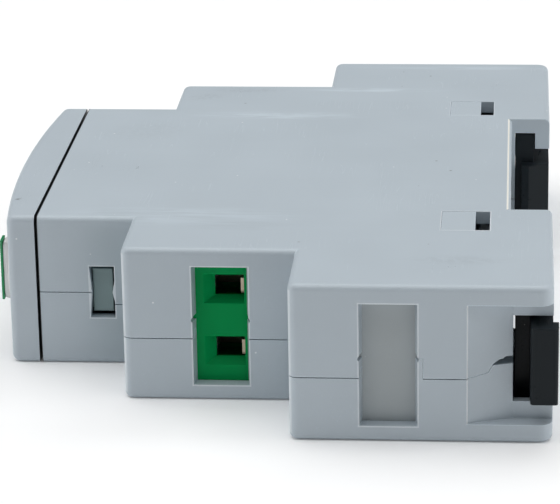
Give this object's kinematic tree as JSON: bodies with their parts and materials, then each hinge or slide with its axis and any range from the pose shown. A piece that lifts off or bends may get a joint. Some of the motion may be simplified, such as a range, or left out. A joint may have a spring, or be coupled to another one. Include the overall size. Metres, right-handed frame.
{
  "type": "din rail timer",
  "caption": "One-module DIN rail timer relay: stepped grey two-part housing, curved front with set knobs, screw terminals at both ends, spring rail latch.",
  "frame": {"origin": "centre of the rail seat, the floor of the rail notch at mid height and mid width", "axes": "+X from the front face to the rail, +Y from the bottom end with the latch to the top end, +Z across the module along the rail"},
  "size_m": [0.0656, 0.0904, 0.018],
  "materials": {
    "housing_grey": "fine matt moulded plastic",
    "cover_grey": "fine matt moulded plastic",
    "label_foil": "satin printed foil",
    "knob_grey": "satin moulded plastic",
    "pointer_green": "glossy plastic",
    "terminal_green": "satin polyamide",
    "blank_grey": "fine matt moulded plastic",
    "latch_black": "satin polyamide",
    "brass": "nickel-flashed brass",
    "zinc_steel": "zinc plated",
    "spring_steel": "drawn wire",
    "board": "solder mask over glass laminate",
    "black_plastic": "moulded plastic",
    "relay_blue": "moulded plastic",
    "natural_plastic": "natural polyester",
    "copper_enamel": "enamelled copper",
    "film_yellow": "epoxy",
    "can_sleeve": "shrunk sleeve",
    "varistor_blue": "epoxy dip",
    "resistor_tan": "cement",
    "lamp_green": "tinted lens",
    "lamp_red": "tinted lens"
  },
  "bodies": {
    "housing": {"housing_upper": "housing_grey", "housing_lower": "housing_grey", "front_cover": "cover_grey", "front_label": "label_foil", "time_pot_body": "black_plastic", "range_switch_body": "black_plastic", "led_power": "lamp_green", "led_output": "lamp_red", "led_spacers": "natural_plastic", "front_pcb": "board", "power_pcb": "board", "link_header_strips": "black_plastic", "link_header_pins": "brass", "microcontroller": "black_plastic", "chip_resistors": "black_plastic", "terminal_block_bottom": "terminal_green", "terminal_block_top": "terminal_green", "contact_frames_bottom": "brass", "contact_frames_top": "brass", "terminal_blank_bottom": "blank_grey", "terminal_blank_top": "blank_grey", "latch_spring": "spring_steel", "rail_hook": "latch_black", "relay_case": "relay_blue", "relay_base": "black_plastic", "relay_pins": "brass", "relay_yoke": "zinc_steel", "relay_bobbin": "natural_plastic", "relay_winding": "copper_enamel", "relay_fixed_contacts": "brass", "film_capacitor": "film_yellow", "electrolytic_capacitor": "can_sleeve", "varistor": "varistor_blue", "fuse_resistor": "resistor_tan", "bridge_rectifier": "black_plastic"},
    "latch": {"rail_latch": "latch_black"},
    "time_dial": {"time_knob": "knob_grey", "time_knob_pointer": "pointer_green", "time_pot_rotor": "natural_plastic"},
    "range_dial": {"range_knob": "knob_grey", "range_knob_pointer": "pointer_green", "range_switch_rotor": "natural_plastic"},
    "armature": {"relay_armature": "zinc_steel", "relay_contact_blade": "brass"},
    "clamp_1": {"clamp_plate_1": "zinc_steel"},
    "screw_1": {"terminal_screw_1": "zinc_steel"},
    "clamp_2": {"clamp_plate_2": "zinc_steel"},
    "screw_2": {"terminal_screw_2": "zinc_steel"},
    "clamp_3": {"clamp_plate_3": "zinc_steel"},
    "screw_3": {"terminal_screw_3": "zinc_steel"},
    "clamp_4": {"clamp_plate_4": "zinc_steel"},
    "screw_4": {"terminal_screw_4": "zinc_steel"}
  },
  "joints": [
    {"name": "latch_slide", "type": "slide", "parent": "housing", "child": "latch", "axis": [0, -1, 0], "range_m": [0, 0.0026], "stiffness_N_per_m": 500, "springref_m": -0.002, "deforming": ["latch_spring"]},
    {"name": "time_set", "type": "hinge", "parent": "housing", "child": "time_dial", "pos_m": [-0.055, -0.0145, 0], "axis": [-1, 0, 0], "range_deg": [-135, 135]},
    {"name": "range_select", "type": "hinge", "parent": "housing", "child": "range_dial", "pos_m": [-0.055, -0.0035, 0], "axis": [-1, 0, 0], "range_deg": [-135, 135]},
    {"name": "relay_pull_in", "type": "hinge", "parent": "housing", "child": "armature", "pos_m": [-0.0399, -0.0123, 0], "axis": [0, 0, -1], "range_deg": [0, 3], "stiffness_Nm_per_rad": 0.03, "springref_deg": -2.86},
    {"name": "clamp_lift_1", "type": "slide", "parent": "housing", "child": "clamp_1", "axis": [1, 0, 0], "range_m": [0, 0.00187]},
    {"name": "screw_turn_1", "type": "hinge", "parent": "clamp_1", "child": "screw_1", "pos_m": [-0.036, -0.028, 0.0037], "axis": [1, 0, 0], "range_deg": [0, 1351]},
    {"name": "clamp_lift_2", "type": "slide", "parent": "housing", "child": "clamp_2", "axis": [1, 0, 0], "range_m": [0, 0.00187]},
    {"name": "screw_turn_2", "type": "hinge", "parent": "clamp_2", "child": "screw_2", "pos_m": [-0.036, -0.028, -0.0037], "axis": [1, 0, 0], "range_deg": [0, 1351]},
    {"name": "clamp_lift_3", "type": "slide", "parent": "housing", "child": "clamp_3", "axis": [1, 0, 0], "range_m": [0, 0.00187]},
    {"name": "screw_turn_3", "type": "hinge", "parent": "clamp_3", "child": "screw_3", "pos_m": [-0.036, 0.028, 0.0037], "axis": [1, 0, 0], "range_deg": [0, 1351]},
    {"name": "clamp_lift_4", "type": "slide", "parent": "housing", "child": "clamp_4", "axis": [1, 0, 0], "range_m": [0, 0.00187]},
    {"name": "screw_turn_4", "type": "hinge", "parent": "clamp_4", "child": "screw_4", "pos_m": [-0.036, 0.028, -0.0037], "axis": [1, 0, 0], "range_deg": [0, 1351]}
  ],
  "couplings": [
    {"joint": "screw_turn_1", "follows": "clamp_lift_1", "rad_per_m": 12566},
    {"joint": "screw_turn_2", "follows": "clamp_lift_2", "rad_per_m": 12566},
    {"joint": "screw_turn_3", "follows": "clamp_lift_3", "rad_per_m": 12566},
    {"joint": "screw_turn_4", "follows": "clamp_lift_4", "rad_per_m": 12566}
  ]
}
